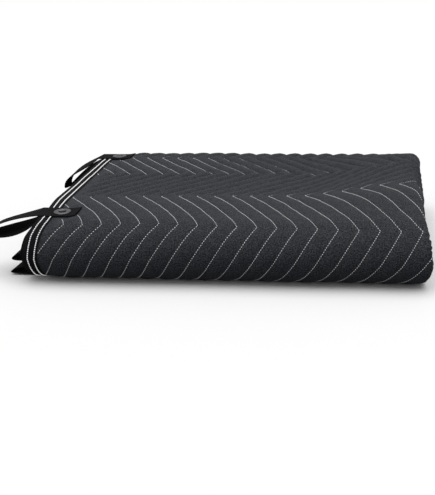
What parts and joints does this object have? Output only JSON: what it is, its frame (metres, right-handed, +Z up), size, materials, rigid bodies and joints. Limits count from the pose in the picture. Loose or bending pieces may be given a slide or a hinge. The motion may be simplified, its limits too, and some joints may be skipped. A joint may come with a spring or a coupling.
{
  "type": "sound dampening blanket",
  "caption": "Quilted sound dampening blanket folded into a thick flat pad, with zigzag quilting, bound hems, webbing hanging loops and metal grommets",
  "frame": {"origin": "On the surface that the pad rests on, under the middle of its folded width and depth", "axes": "+X from the hems with the loops to the side fold, +Y from the rounded front to the back, +Z up"},
  "size_m": [0.7075, 0.5056, 0.1286],
  "materials": {
    "quilted_cloth": "matte brushed charcoal",
    "binding_tape": "matte black tape",
    "webbing": "ribbed black webbing",
    "grommet_metal": "dark nickel"
  },
  "bodies": {
    "root": {"blanket": "quilted_cloth", "binding_loop_edge": "binding_tape", "binding_plain_edge": "binding_tape", "binding_outer_end": "binding_tape", "binding_inner_end": "binding_tape", "loop_front": "webbing", "loop_back": "webbing", "loop_inner_upper": "webbing", "loop_inner_lower": "webbing", "grommet_front": "grommet_metal", "grommet_back": "grommet_metal"}
  },
  "joints": []
}
